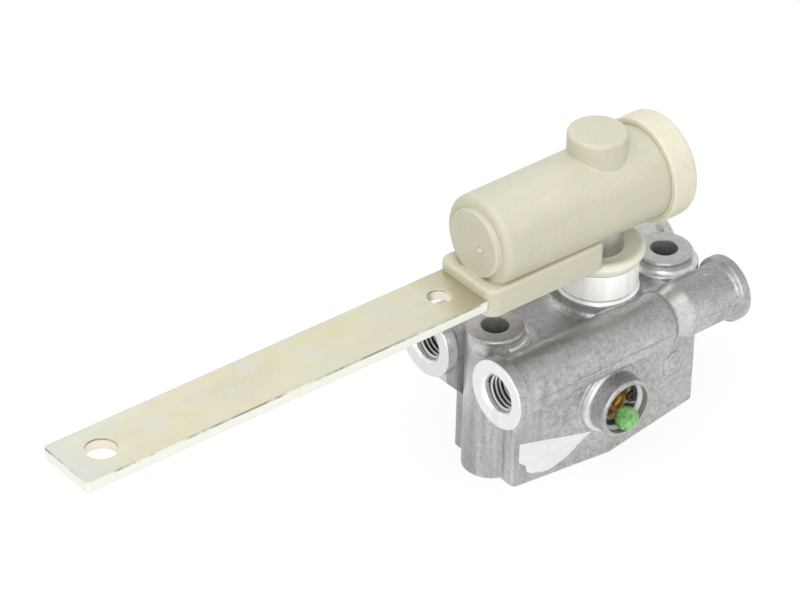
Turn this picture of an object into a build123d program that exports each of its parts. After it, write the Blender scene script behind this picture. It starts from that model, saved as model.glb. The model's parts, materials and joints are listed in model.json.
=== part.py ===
from build123d import *
from math import asin, cos, degrees, pi, radians, sin
import os

# Air suspension levelling valve, in millimetres.
# The shaft axis is x = 0, y = 0 and points up. The mounting face is z = 0.
# The control lever points to -X and the exhaust port faces -Y.

# Clearances between pieces
slip = 0.05          # radial gap of a turning or sliding fit
seat_gap = 0.3       # gap between pieces that move past each other face to face
snug = 0.03          # gap of a piece that is pressed or pushed into its seat
past = 1.0           # how far a cutter runs past the face it opens
through = 400.0      # length of a cutter that goes right through

# Casting: mounting columns
column_height = 50.0
column_r = 8.7
column_edge = 0.5
mount_hole_r = 4.25
left_column_x = -39.6
right_column_x = 26.6
column_ring_t = 2.0
column_flare_r = 10.6
column_flare_z = 46.2
column_flare_round = 1.5
column_flare_edge = 0.3
left_flare_x = -41.5

# Casting: lower walls, a ridge between two end faces, the same front and rear
wall_left_x = -42.3
wall_ridge_x = -8.0
wall_right_x = 30.5
wall_left_half = 13.9
wall_ridge_half = 18.0
wall_right_half = 12.6
wall_corner_r = 1.6
deck_z = 44.5

# Casting: gussets under the barrels at the left end
gusset_x = -50.5
gusset_z = 29.0
gusset_foot_z = 20.0
gusset_half = 8.5

# Casting: two parallel barrels along X
barrel_y = 16.4
barrel_z = 40.0
barrel_r = 8.8
shoulder_r = 9.3
shoulder_end_x = -30.5
shoulder_step = 0.4
waist_start_x = 11.8
waist_end_x = 17.5
waist_r = 6.9
port_flange_r = 11.0
port_flange_t = 4.0
stub_flange_r = 10.4
stub_flange_t = 3.0
flange_taper = 1.2
flange_edge = 0.6
left_port_x = -52.7
right_port_x = 38.4

# Port threads and bores of each circuit, measured along the barrel from the shaft plane
thread_r = 6.0
thread_depth = 9.4
thread_chamfer = 1.0
slide_r = 4.85
slide_reach = 17.1
slide_edge = 0.4
slide_bore_reach = 20.0
supply_bore_r = 5.2
delivery_bore_r = 3.0
seal_section_r = 0.85
seal_groove_half = 1.1
exhaust_seal_x = 10.2
supply_seal_x = 13.4
slide_port_x = 11.8
slide_port_r = 0.6
slide_drill_r = 1.8

# Casting: cam chamber under the neck
chamber_r = 13.2
chamber_roof_z = 43.0

# Casting: neck round the shaft, with a cast ring at its base and a turned groove above it
neck_r = 12.2
neck_top_z = 58.5
neck_ring_r = 12.7
neck_ring_z = 48.6
neck_ring_step = 0.3
neck_fillet_r = 2.3
neck_groove_z = 49.6
neck_groove = 0.9
neck_groove_depth = 0.6

# Ring between the neck and the hub cup
dust_seal_r = 0.55
dust_seal_major_r = 10.8
dust_seal_below = 0.3

# Exhaust port
exhaust_x = -8.0
exhaust_z = 19.7
exhaust_mouth_y = -24.6
exhaust_rim_r = 9.5
exhaust_rim_edge = 0.8
exhaust_root_r = 11.2
exhaust_foot_r = 13.0
exhaust_root_fillet = 1.5
exhaust_root_depth = 4.0
exhaust_mouth_r = 8.1
exhaust_mouth_depth = 2.1
exhaust_cone_depth = 1.4
exhaust_bore_r = 7.15
exhaust_ledge_r = 6.0
exhaust_ring_depth = 3.55
exhaust_ring_t = 0.9
exhaust_ring_r = 5.9
exhaust_ring_groove = 0.75
exhaust_ring_gap = 10.0
exhaust_ring_turn = -22.0
exhaust_lug_r = 1.7
exhaust_lug_hole_r = 0.55
sleeve_wall = 0.65
sleeve_length = 2.9
exhaust_filter_t = 2.8
filter_dish_r = 5.0
filter_dish = 0.5

# Green plug of the exhaust port
plug_x = -7.4
plug_z = 16.0
plug_head_r = 3.3
plug_head_y = -24.0
plug_neck_y = -21.9
plug_stem_r = 0.9
plug_stem_end_y = -15.8

# Bottom cover of the chamber
cover_z = 1.8
cover_t = 4.6
cover_recess = 1.2
cover_rim = 4.0
cover_seal_r = 0.68
cover_groove_half = 1.0
cover_groove_depth = 1.4
ring_t = 1.0
ring_depth = 0.8
ring_in = 1.4
ring_gap = 24.0
ring_lug_r = 1.5
ring_lug_hole_r = 0.7

# Control shaft
shaft_r = 5.0
stem_r = 7.0
flange_r = 9.0
flange_t = 1.4
flange_z = 57.0
bush_wall = 2.0
bush_top_z = 51.8
seal_lip = 1.0
seal_undercut = 0.8
shaft_end_z = 35.2
drive_half = 3.1
crank_offset = 5.0
crank_r = 1.5
crank_play = 0.22
clip_depth = 0.7
clip_reach = 1.2
clip_t = 0.8

# Rocker on the lower end of the shaft
rocker_z = 40.0
rocker_t = 5.0
rocker_tip_y = 10.9
rocker_tip_r = 2.0
rocker_hub_r = 5.6
notch_play = 0.1
notch_depth = 1.9

# Hub cup of the damper housing, a flared bowl
cup_foot_r = 12.4
cup_rim_r = 14.7
cup_rim_w = 2.9
cup_rim_z = 63.2
cup_rim_round = 1.5
cup_dish_r = 8.4
cup_dish_round = 0.8
cup_floor_t = 3.5
cup_web_r = 13.0

# Damper cylinder along X, drafted from its seam down to its left end
damper_z = 82.6
damper_r = 14.6
damper_draft = 0.5
damper_wall = 2.1
damper_left_x = -49.4
damper_seam_x = 13.8
damper_end_wall = 3.0
damper_shoulder = 2.6
damper_spigot = 5.0
disc_in = 3.5
disc_proud = 1.5
disc_edge = 0.7

# Cap on the right end of the damper
cap_over = 2.0
cap_right_x = 23.3
cap_edge_r = 2.2
cap_lip = 0.4
cap_seal_r = 0.55
cap_seal_in = 2.8
cap_groove_half = 0.8

# Top boss of the damper, its height over the cylinder's axis
top_boss_x = -3.1
top_boss_r = 9.0
top_boss_rise = 20.6
top_boss_edge = 1.2

# Lever socket under the damper, its top measured down from the cylinder's axis
socket_left_x = -52.3
socket_right_x = -8.5
socket_half = 12.2
socket_floor_z = 64.1
socket_drop = 9.8
socket_left_corner = 4.0
socket_right_corner = 2.5
socket_edge_r = 1.2

# Control lever
lever_t = 3.5
lever_top_z = 69.4
lever_width = 20.4
lever_end_x = -191.7
lever_root_x = -18.0
lever_corner_r = 0.8
end_hole_x = -179.8
end_hole_r = 4.75
pin_hole_x = -61.4
pin_hole_r = 3.55

# Damper piston and its springs
piston_half = 13.0
piston_gap = 0.1
piston_head_t = 5.0
piston_rib_half = 5.2
piston_rib_drop = 3.7
piston_rib_width = 17.8
piston_pilot = 2.0
piston_slot_in = 2.0
piston_slot_out = 3.1
piston_ring_w = 1.6
piston_ring_depth = 1.0
piston_ring_out = 0.04
piston_ring_split = 0.8
crank_rise = 3.4
spring_wire_r = 0.7
spring_r = 8.6
left_spring_turns = 6
right_spring_turns = 1.5

# Check valve in each supply bore
spring_plate_t = 0.8
plate_hole_r = 1.0
plate_window_r = 1.15
plate_window_at = 2.9
poppet_r = 3.9
poppet_t = 1.6
poppet_edge = 0.3
poppet_pilot = 0.7
check_room = 1.7
seat_t = 1.9
seat_orifice_r = 2.4
check_wire_r = 0.25
check_spring_r = 2.6
check_spring_turns = 3

# Throttle in each delivery bore
throttle_length = 3.0
throttle_in = 1.0
throttle_orifice_r = 0.6

# Sizes that follow from the ones above
slide_bore_r = slide_r + slip * 2
seal_major_r = slide_r + slip + seal_section_r
seal_groove_r = seal_major_r + seal_section_r + snug
damper_bore_r = damper_r - damper_wall
damper_left_r = damper_r - damper_draft
disc_r = damper_left_r - disc_in
cap_r = damper_r + cap_over
damper_bore_x = damper_left_x + damper_end_wall
cup_floor_z = neck_top_z + seat_gap
clip_z = cup_floor_z + (cup_floor_t - clip_t) / 2
rocker_clip_z = rocker_z - rocker_t / 2 - clip_t - slip
cover_r = chamber_r - snug
cover_seal_z = cover_z + cover_t / 2 + 0.4
stem_top_z = damper_z - damper_bore_r - seat_gap
crank_top_z = damper_z + crank_rise
top_boss_z = damper_z + top_boss_rise
socket_top_z = damper_z - socket_drop
cap_seal_x = damper_seam_x + cap_seal_in
spigot_end_x = damper_seam_x + damper_spigot
lever_bottom_z = lever_top_z - lever_t
plate_x = slide_bore_reach
poppet_spring_x = plate_x + spring_plate_t
poppet_x = poppet_spring_x + check_wire_r * 2 * (check_spring_turns + 1) + check_room
seat_x = poppet_x + poppet_t + slip
ring_y = exhaust_mouth_y + exhaust_ring_depth
sleeve_y = ring_y + exhaust_ring_t + snug
filter_y = sleeve_y + sleeve_length + snug
ledge_y = filter_y + exhaust_filter_t + snug


def rod_x(radius, x0, x1, y=0.0, z=0.0):
    """A round bar along X from x0 to x1."""
    bar = Cylinder(radius, abs(x1 - x0), align=(Align.CENTER, Align.CENTER, Align.MIN))
    return Pos(min(x0, x1), y, z) * Rot(0, 90, 0) * bar


def rod_y(radius, y0, y1, x, z):
    """A round bar along Y from y0 to y1."""
    bar = Cylinder(radius, abs(y1 - y0), align=(Align.CENTER, Align.CENTER, Align.MIN))
    return Pos(x, min(y0, y1), z) * Rot(-90, 0, 0) * bar


def post(radius, z0, z1, x=0.0, y=0.0):
    """A round bar along Z from z0 to z1."""
    bar = Cylinder(radius, z1 - z0, align=(Align.CENTER, Align.CENTER, Align.MIN))
    return Pos(x, y, z0) * bar


def block(x0, x1, y0, y1, z0, z1):
    """A box between two corners."""
    size = Box(x1 - x0, y1 - y0, z1 - z0, align=(Align.MIN, Align.MIN, Align.MIN))
    return Pos(x0, y0, z0) * size


def turned(corners, axis):
    """A closed outline turned round X or Z.

    Each corner is its place along the axis, its radius and, where it is rounded, the rounding.
    """
    if axis == "x":
        places = [(corner[0], corner[1], 0) for corner in corners]
    else:
        places = [(corner[1], 0, corner[0]) for corner in corners]
    face = make_face(Polyline(*places, close=True))
    for corner, place in zip(corners, places):
        if len(corner) > 2:
            face = fillet(face.vertices().sort_by_distance(place)[0], corner[2])
    return revolve(face, Axis.X if axis == "x" else Axis.Z)


def rubber_ring(axis, major, half, along):
    """A rubber ring round X or Z, with an eight-sided section that is flat where it touches."""
    corner_r = half / cos(pi / 8)
    angles = [(step + 0.5) * pi / 4 for step in range(8)]
    return turned([(along + corner_r * cos(a), major + corner_r * sin(a)) for a in angles], axis)


def in_circuit(side, piece):
    """Places a piece made along +X at y = 0, z = 0 in the front circuit, or turned half round in the rear."""
    placed = Pos(0, -barrel_y, barrel_z) * piece
    return placed if side == "front" else Rot(0, 0, 180) * placed


def port_reach(side, end):
    """How far the supply or delivery port of a circuit stands from the shaft plane."""
    to_right = (side == "front") == (end == "supply")
    return right_port_x if to_right else -left_port_x


def circuit_bore(side):
    """What is bored out of one barrel: delivery port, slide bore, supply bore and supply port."""
    supply = port_reach(side, "supply")
    delivery = port_reach(side, "delivery")
    bore = rod_x(slide_bore_r, -slide_bore_reach, slide_bore_reach + slip)
    bore += rod_x(delivery_bore_r, -delivery, 0)
    bore += rod_x(supply_bore_r, slide_bore_reach, supply - thread_depth + slip)
    for end, reach in ((1, supply), (-1, delivery)):
        outline = [
            (end * (reach - thread_depth), 0),
            (end * (reach - thread_depth), thread_r),
            (end * (reach - thread_chamfer), thread_r),
            (end * (reach + slip), thread_r + thread_chamfer + slip),
            (end * (reach + slip), 0),
        ]
        bore += turned(outline, "x")
    for x in (-exhaust_seal_x, exhaust_seal_x, supply_seal_x):
        bore += rod_x(seal_groove_r, x - seal_groove_half, x + seal_groove_half)
    return in_circuit(side, bore)


def barrel():
    """One barrel of the casting, on the X axis: port flanges, shoulder, body, waist and stub."""
    left_flange_x = left_port_x + port_flange_t
    right_flange_x = right_port_x - stub_flange_t
    waist_round = barrel_r - waist_r
    outline = [
        (left_port_x, 0),
        (left_port_x, port_flange_r, flange_edge),
        (left_flange_x, port_flange_r, flange_edge),
        (left_flange_x + flange_taper, shoulder_r, flange_taper),
        (shoulder_end_x, shoulder_r),
        (shoulder_end_x + shoulder_step, barrel_r),
        (waist_start_x, barrel_r, waist_round * 0.9),
        (waist_start_x, waist_r),
        (waist_end_x, barrel_r),
        (right_flange_x - flange_taper, barrel_r, flange_taper),
        (right_flange_x, stub_flange_r, flange_edge),
        (right_port_x, stub_flange_r, flange_edge),
        (right_port_x, 0),
    ]
    return turned(outline, "x")


def lower_body():
    """The walls under the barrels, widest at the ridge."""
    corners = [
        (wall_left_x, -wall_left_half),
        (wall_ridge_x, -wall_ridge_half),
        (wall_right_x, -wall_right_half),
        (wall_right_x, wall_right_half),
        (wall_ridge_x, wall_ridge_half),
        (wall_left_x, wall_left_half),
    ]
    outline = make_face(Polyline(*corners, close=True))
    outline = fillet(outline.vertices(), wall_corner_r)
    return extrude(outline, deck_z)


def gusset():
    """The sloping web under one barrel at the left end."""
    corners = [(gusset_x, barrel_z), (gusset_x, gusset_z), (wall_left_x + past, gusset_foot_z - past),
               (wall_left_x + past, barrel_z)]
    side = make_face(Polyline(*[(x, gusset_half, z) for x, z in corners], close=True))
    return extrude(side, wall_left_half - gusset_half, dir=(0, 1, 0))


def column(x):
    """A mounting column, its top ring flaring out into a pad between the barrels."""
    solid = post(column_r, 0, column_height)
    solid = chamfer(solid.edges().filter_by(GeomType.CIRCLE), column_edge)
    flare = turned([
        (barrel_z, 0),
        (barrel_z, column_r),
        (deck_z - past, column_flare_r),
        (column_flare_z, column_flare_r, column_flare_edge),
        (column_flare_z, column_r + slip, column_flare_round),
        (column_height - column_ring_t, column_r + slip),
        (column_height - column_ring_t, 0),
    ], "z")
    if x < 0:
        flare -= block(-through, left_flare_x - x, -through, through, 0, through)
    return Pos(x, 0, 0) * (solid + flare)


def neck():
    """The turned neck with its cast base ring, groove and flange seat."""
    outline = [
        (chamber_roof_z, 0),
        (chamber_roof_z, neck_ring_r + neck_fillet_r),
        (deck_z, neck_ring_r + neck_fillet_r),
        (deck_z, neck_ring_r, neck_fillet_r * 0.95),
        (neck_ring_z, neck_ring_r, neck_ring_step / 2),
        (neck_ring_z + neck_ring_step, neck_r),
        (neck_groove_z - neck_groove / 2, neck_r),
        (neck_groove_z - neck_groove / 4, neck_r - neck_groove_depth),
        (neck_groove_z + neck_groove / 4, neck_r - neck_groove_depth),
        (neck_groove_z + neck_groove / 2, neck_r),
        (neck_top_z, neck_r),
        (neck_top_z, 0),
    ]
    return turned(outline, "z")


def exhaust_boss():
    """The round boss of the exhaust port, with a fillet at the wall."""
    mouth = -exhaust_mouth_y
    wall = wall_ridge_half
    outline = [
        (mouth, 0),
        (mouth, exhaust_rim_r, exhaust_rim_edge),
        (wall, exhaust_rim_r, exhaust_root_fillet),
        (wall, exhaust_root_r),
        (wall - exhaust_root_depth, exhaust_foot_r),
        (wall - exhaust_root_depth, 0),
    ]
    return Pos(exhaust_x, 0, exhaust_z) * Rot(90, 0, 0) * turned(outline, "z")


def exhaust_bore():
    """What is bored out of the exhaust port: mouth, cone, filter bore, ring groove and ledge."""
    mouth = -exhaust_mouth_y
    bore = turned([
        (mouth + past, 0),
        (mouth + past, exhaust_mouth_r),
        (mouth - exhaust_mouth_depth, exhaust_mouth_r),
        (mouth - exhaust_mouth_depth - exhaust_cone_depth, exhaust_bore_r),
        (-ledge_y, exhaust_bore_r),
        (-ledge_y, exhaust_ledge_r),
        (0, exhaust_ledge_r),
        (0, 0),
    ], "z")
    bore += post(exhaust_bore_r + exhaust_ring_groove, -ring_y - exhaust_ring_t - snug, -ring_y + snug)
    return Pos(exhaust_x, 0, exhaust_z) * Rot(90, 0, 0) * bore


def valve_body():
    body = lower_body()
    for y in (-barrel_y, barrel_y):
        body += Pos(0, y, barrel_z) * barrel()
    body += gusset()
    body += mirror(gusset(), Plane.XZ)
    for x in (left_column_x, right_column_x):
        body += column(x)
    body += neck()
    body += exhaust_boss()
    # mounting holes, chamber, bores and exhaust
    for x in (left_column_x, right_column_x):
        body -= post(mount_hole_r, -past, column_height + past, x)
    body -= post(chamber_r, -past, chamber_roof_z)
    body -= post(chamber_r + ring_depth, cover_z - ring_t - snug * 2, cover_z - snug)
    body -= post(shaft_r + bush_wall, chamber_roof_z - past, flange_z)
    body -= post(flange_r + slip * 2, flange_z - seat_gap, neck_top_z + past)
    for side in ("front", "rear"):
        body -= circuit_bore(side)
    body -= exhaust_bore()
    body -= dust_seal(dust_seal_r + snug)
    return body


def dust_seal(half):
    """The ring between the neck and the hub cup, sunk in the neck's top face."""
    return rubber_ring("z", dust_seal_major_r, half, neck_top_z - dust_seal_below)


def shaft_bush():
    outer = post(shaft_r + bush_wall - snug, chamber_roof_z + slip, bush_top_z)
    return outer - post(shaft_r + slip, chamber_roof_z - past, bush_top_z + past)


def shaft_seal():
    """A lip seal above the bush: a ring with an undercut that leaves two lips on the shaft."""
    top = flange_z - seat_gap - seal_lip
    outer = post(shaft_r + bush_wall - snug, bush_top_z + snug, top)
    outer -= post(shaft_r + slip, bush_top_z - past, top + past)
    outer -= post(shaft_r + seal_undercut, bush_top_z + seal_lip, top - seal_lip)
    return outer


def snap_ring(inner_r, outer_r, thickness, gap_deg, lug_r, hole_r):
    """A snap ring in the plane z = 0: an open ring with an inward lug and a hole at each end."""
    ring = Circle(outer_r) - Circle(inner_r)
    half = radians(gap_deg / 2)
    reach = outer_r * 2
    ring -= make_face(Polyline((0, 0), (reach, -reach * sin(half)), (reach, reach * sin(half)), close=True))
    lug_at = inner_r - lug_r / 2
    turn = degrees(half) + degrees(asin(lug_r / lug_at))
    for sign in (-1, 1):
        spot = Rot(0, 0, sign * turn) * Pos(lug_at, 0)
        ring += spot * Circle(lug_r)
        ring -= spot * Circle(hole_r)
    return extrude(ring, thickness)


def bottom_cover():
    """A stepped cover with a seal groove and a finger recess."""
    cover = post(cover_r, cover_z, cover_z + cover_t)
    groove = post(cover_r + past, cover_seal_z - cover_groove_half, cover_seal_z + cover_groove_half)
    cover -= groove - post(cover_r - cover_groove_depth, 0, through)
    cover -= post(cover_r - cover_rim, cover_z - past, cover_z + cover_recess)
    return cover


def bottom_cover_seal():
    return rubber_ring("z", chamber_r - snug - cover_seal_r, cover_seal_r, cover_seal_z)


def bottom_cover_ring():
    outer = chamber_r + ring_depth - snug
    ring = snap_ring(chamber_r - ring_in, outer, ring_t, ring_gap, ring_lug_r, ring_lug_hole_r)
    return Pos(0, 0, cover_z - ring_t - snug) * Rot(0, 0, 90) * ring


def exhaust_filter():
    """A sintered bronze disc with a shallow dish, seated on the ledge of the exhaust bore."""
    disc = rod_y(exhaust_bore_r - snug, filter_y, filter_y + exhaust_filter_t, exhaust_x, exhaust_z)
    disc -= rod_y(filter_dish_r, filter_y - past, filter_y + filter_dish, exhaust_x, exhaust_z)
    return disc - rod_y(plug_stem_r + snug, filter_y - past, ledge_y + past, plug_x, plug_z)


def exhaust_flap():
    """A short sleeve between the snap ring and the filter."""
    end_y = sleeve_y + sleeve_length
    sleeve = rod_y(exhaust_bore_r - snug, sleeve_y, end_y, exhaust_x, exhaust_z)
    return sleeve - rod_y(exhaust_bore_r - sleeve_wall, sleeve_y - past, end_y + past, exhaust_x, exhaust_z)


def exhaust_plug():
    """A moulded plug: a round stem through the filter and a ball-shaped head, flat behind."""
    stem = rod_y(plug_stem_r, plug_neck_y - past, plug_stem_end_y, plug_x, plug_z)
    head = Pos(plug_x, plug_head_y, plug_z) * Sphere(plug_head_r)
    head -= block(-through, through, plug_neck_y, through, -through, through)
    return stem + head


def exhaust_ring():
    """The snap ring in the bore behind the cone, its gap at the lower right."""
    outer = exhaust_bore_r + exhaust_ring_groove - snug
    ring = snap_ring(exhaust_ring_r, outer, exhaust_ring_t, exhaust_ring_gap, exhaust_lug_r, exhaust_lug_hole_r)
    place = Pos(exhaust_x, ring_y + exhaust_ring_t, exhaust_z) * Rot(90, 0, 0)
    return place * Rot(0, 0, exhaust_ring_turn) * ring


def control_shaft():
    """Head, flange, bearing length and flats of the shaft, with the crank pin on its head."""
    shaft = post(shaft_r, rocker_z - rocker_t / 2, flange_z + seat_gap)
    shaft += post(flange_r, flange_z, flange_z + flange_t)
    shaft += post(stem_r, flange_z, stem_top_z)
    shaft -= post(stem_r + past, clip_z - snug, clip_z + clip_t + snug) - post(stem_r - clip_depth, 0, through)
    shaft += block(-drive_half, drive_half, -drive_half, drive_half, shaft_end_z, rocker_z)
    flats = post(shaft_r + past, shaft_end_z - past, rocker_z + rocker_t / 2)
    flats -= block(-drive_half, drive_half, -drive_half, drive_half, 0, through)
    shaft -= flats
    lower = rocker_clip_z
    shaft -= post(shaft_r, lower - snug, lower + clip_t + snug) - post(drive_half - clip_depth / 2, 0, through)
    shaft += post(crank_r, stem_top_z - past, crank_top_z, 0, -crank_offset)
    return shaft


def open_clip(inner_r, outer_r, opening):
    """A flat clip pushed on from one side."""
    ring = Circle(outer_r) - Circle(inner_r)
    ring -= Pos(outer_r, 0) * Rectangle(2 * outer_r, opening)
    return extrude(ring, clip_t)


def hub_clip():
    """The clip on the shaft head that holds the hub cup down, inside a groove of the cup's floor."""
    clip = open_clip(stem_r - clip_depth + snug, stem_r + clip_reach, stem_r * 1.1)
    return Pos(0, 0, clip_z) * Rot(0, 0, 35) * clip


def rocker():
    """The flat rocker: a hub with a square hole and two arms with round tips."""
    arm = Rectangle(2 * rocker_tip_r * 0.9, 2 * rocker_tip_y)
    plate = arm + Circle(rocker_hub_r)
    for y in (-rocker_tip_y, rocker_tip_y):
        plate += Pos(0, y) * Circle(rocker_tip_r)
    plate -= Rectangle(2 * (drive_half + snug), 2 * (drive_half + snug))
    return Pos(0, 0, rocker_z - rocker_t / 2) * extrude(plate, rocker_t - snug)


def rocker_clip():
    clip = open_clip(drive_half - clip_depth / 2 + snug, rocker_hub_r - 0.4, drive_half * 1.3)
    return Pos(0, 0, rocker_clip_z) * clip


def slide():
    """A tubular valve slide, drilled from its delivery end, with cross ports and the rocker's notch."""
    bar = rod_x(slide_r, -slide_reach, slide_reach)
    bar = chamfer(bar.edges().filter_by(GeomType.CIRCLE), slide_edge)
    bar -= rod_x(slide_drill_r, -slide_reach - past, slide_port_x + 2 * slide_port_r)
    bar -= post(slide_port_r, -slide_r - past, slide_r + past, slide_port_x)
    bar -= rod_y(slide_port_r, -slide_r - past, slide_r + past, slide_port_x, 0)
    half = rocker_tip_r + notch_play
    bar -= block(-half, half, slide_r - notch_depth, slide_r + past, -slide_r, slide_r)
    return bar


def slide_seals():
    places = (-exhaust_seal_x, exhaust_seal_x, supply_seal_x)
    return [rubber_ring("x", seal_major_r, seal_section_r, x) for x in places]


def spring_plate():
    """A thin washer with three windows, which carries the check valve's spring."""
    plate = Circle(supply_bore_r - snug) - Circle(plate_hole_r)
    for step in range(3):
        plate -= Rot(0, 0, 120 * step) * Pos(plate_window_at, 0) * Circle(plate_window_r)
    return Pos(plate_x + slip, 0, 0) * Rot(0, 90, 0) * extrude(plate, spring_plate_t - slip)


def check_poppet():
    """A round poppet with a spring pilot."""
    head = turned([
        (poppet_x, 0),
        (poppet_x, poppet_r, poppet_edge),
        (poppet_x + poppet_t, poppet_r),
        (poppet_x + poppet_t, 0),
    ], "x")
    return head + rod_x(check_spring_r - check_wire_r - seat_gap, poppet_x - poppet_pilot, poppet_x)


def check_seat():
    ring = rod_x(supply_bore_r - snug, seat_x, seat_x + seat_t)
    return ring - rod_x(seat_orifice_r, seat_x - past, seat_x + seat_t + past)


def coil(radius, wire_r, length, turns):
    """A spring along +X from x = 0, its wire's surface touching both ends of the length."""
    rise = length - 2 * wire_r
    path = Helix(pitch=rise / turns, height=rise, radius=radius)
    section = Plane(origin=path @ 0, z_dir=path % 0) * RegularPolygon(wire_r, 6)
    wire = sweep(section, path, is_frenet=True)
    return Pos(wire_r, 0, 0) * Rot(0, 90, 0) * wire


def check_spring():
    length = poppet_x - poppet_spring_x - 2 * slip
    return Pos(poppet_spring_x + slip, 0, 0) * coil(check_spring_r, check_wire_r, length, check_spring_turns)


def throttle():
    """A pressed-in insert with a fine drilling, at the inner end of the delivery bore."""
    inner = -slide_bore_reach - throttle_in
    insert = rod_x(delivery_bore_r - snug, inner - throttle_length, inner)
    return insert - rod_x(throttle_orifice_r, inner - throttle_length - past, inner + past)


def damper_barrel():
    """The outside of the damper cylinder: raised end disc, round shoulder, drafted wall and spigot."""
    face_x = damper_left_x + disc_proud
    outline = [
        (damper_left_x, 0),
        (damper_left_x, disc_r, disc_edge),
        (face_x, disc_r),
        (face_x, damper_left_r, damper_shoulder),
        (damper_seam_x, damper_r),
        (spigot_end_x, damper_r),
        (spigot_end_x, 0),
    ]
    return turned(outline, "x")


def lever_socket():
    """The block under the cylinder that the lever's root sits in."""
    body = block(socket_left_x, socket_right_x, -socket_half, socket_half, socket_floor_z, socket_top_z)
    body = fillet(body.edges().filter_by(Axis.Z).group_by(Axis.X)[0], socket_left_corner)
    body = fillet(body.edges().filter_by(Axis.Z).group_by(Axis.X)[-1], socket_right_corner)
    return fillet(body.edges().group_by(Axis.Z)[-1], socket_edge_r)


def hub_cup():
    """The flared bowl on the neck, dished down to its floor."""
    floor_top = cup_floor_z + cup_floor_t
    outline = [
        (cup_floor_z, 0),
        (cup_floor_z, cup_foot_r),
        (cup_rim_z, cup_rim_r, cup_rim_round),
        (cup_rim_z, cup_rim_r - cup_rim_w, cup_dish_round),
        (floor_top, cup_dish_r, cup_dish_round),
        (floor_top, 0),
    ]
    return turned(outline, "z")


def damper_housing():
    housing = Pos(0, 0, damper_z) * damper_barrel()
    boss = post(top_boss_r, damper_z, top_boss_z, top_boss_x)
    housing += fillet(boss.edges().group_by(Axis.Z)[-1], top_boss_edge)
    housing += lever_socket()
    housing += hub_cup()
    # a web closes the cup's wall up to the socket
    web = post(cup_web_r, cup_floor_z + cup_floor_t - seat_gap, socket_floor_z + past)
    housing += web & block(-through, socket_right_x, -socket_half, socket_half, 0, through)
    # cylinder bore, shaft hole, clip groove, lever pocket, cap seal groove
    housing -= Pos(0, 0, damper_z) * rod_x(damper_bore_r, damper_bore_x, through)
    housing -= post(stem_r + slip, cup_floor_z - past, damper_z)
    housing -= post(stem_r + clip_reach + seat_gap, clip_z - seat_gap, clip_z + clip_t + seat_gap)
    half = lever_width / 2 + snug
    housing -= block(-through, lever_root_x + snug, -half, half, lever_bottom_z - snug, lever_top_z + snug)
    seal = rod_x(damper_r + past, cap_seal_x - cap_groove_half, cap_seal_x + cap_groove_half)
    housing -= Pos(0, 0, damper_z) * (seal - rod_x(damper_r - 2 * cap_seal_r - snug, 0, through))
    return housing


def damper_cap():
    """The cap over the open end, with a rounded outer edge and a skirt over the cylinder."""
    seam = damper_seam_x + snug
    outline = [
        (seam, damper_r + snug),
        (seam, cap_r, cap_lip),
        (cap_right_x, cap_r, cap_edge_r),
        (cap_right_x, 0),
        (spigot_end_x + snug, 0),
        (spigot_end_x + snug, damper_r + snug),
    ]
    return Pos(0, 0, damper_z) * turned(outline, "x")


def cap_seal():
    return Pos(0, 0, damper_z) * rubber_ring("x", damper_r - cap_seal_r, cap_seal_r, cap_seal_x)


def control_lever():
    lever = block(lever_end_x, lever_root_x, -lever_width / 2, lever_width / 2, lever_bottom_z, lever_top_z)
    lever = fillet(lever.edges().filter_by(Axis.Z), lever_corner_r)
    lever -= post(end_hole_r, 0, through, end_hole_x)
    lever -= post(pin_hole_r, 0, through, pin_hole_x)
    return lever


def damper_piston():
    """Two heads joined by a rib, with ring grooves and a cross slot for the crank pin."""
    head_r = damper_bore_r - piston_gap
    piston = rod_x(head_r, -piston_half, -piston_half + piston_head_t)
    piston += rod_x(head_r, piston_half - piston_head_t, piston_half)
    rib = piston_rib_width / 2
    piston += block(-piston_half, piston_half, -rib, rib, -piston_rib_drop, piston_rib_half)
    for sign in (-1, 1):
        x = sign * (piston_half - piston_head_t / 2)
        groove = rod_x(head_r + past, x - piston_ring_w / 2, x + piston_ring_w / 2)
        piston -= groove - rod_x(head_r - piston_ring_depth, x - piston_head_t, x + piston_head_t)
    half = crank_r + crank_play
    outer = -crank_offset - piston_slot_in
    piston -= block(-half, half, outer, piston_slot_out - crank_offset, -through, through)
    # spring pilot
    piston += rod_x(spring_r - spring_wire_r - 2 * seat_gap, -piston_half - piston_pilot, -piston_half)
    return Pos(0, 0, damper_z) * piston


def piston_rings():
    """One split ring in each groove of the piston."""
    outer = damper_bore_r - piston_ring_out
    inner = damper_bore_r - piston_gap - piston_ring_depth + snug
    half = piston_ring_w / 2 - snug
    split = piston_ring_split / 2
    rings = []
    for sign in (-1, 1):
        x = sign * (piston_half - piston_head_t / 2)
        ring = rod_x(outer, x - half, x + half) - rod_x(inner, x - piston_head_t, x + piston_head_t)
        ring -= block(-through, through, -split, split, 0, through)
        rings.append(Pos(0, 0, damper_z) * ring)
    return rings


def left_spring():
    start = damper_bore_x + slip
    length = -piston_half - slip - start
    return Pos(start, 0, damper_z) * coil(spring_r, spring_wire_r, length, left_spring_turns)


def right_spring():
    start = piston_half + slip
    length = spigot_end_x - slip - start
    return Pos(start, 0, damper_z) * coil(spring_r, spring_wire_r, length, right_spring_turns)


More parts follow.
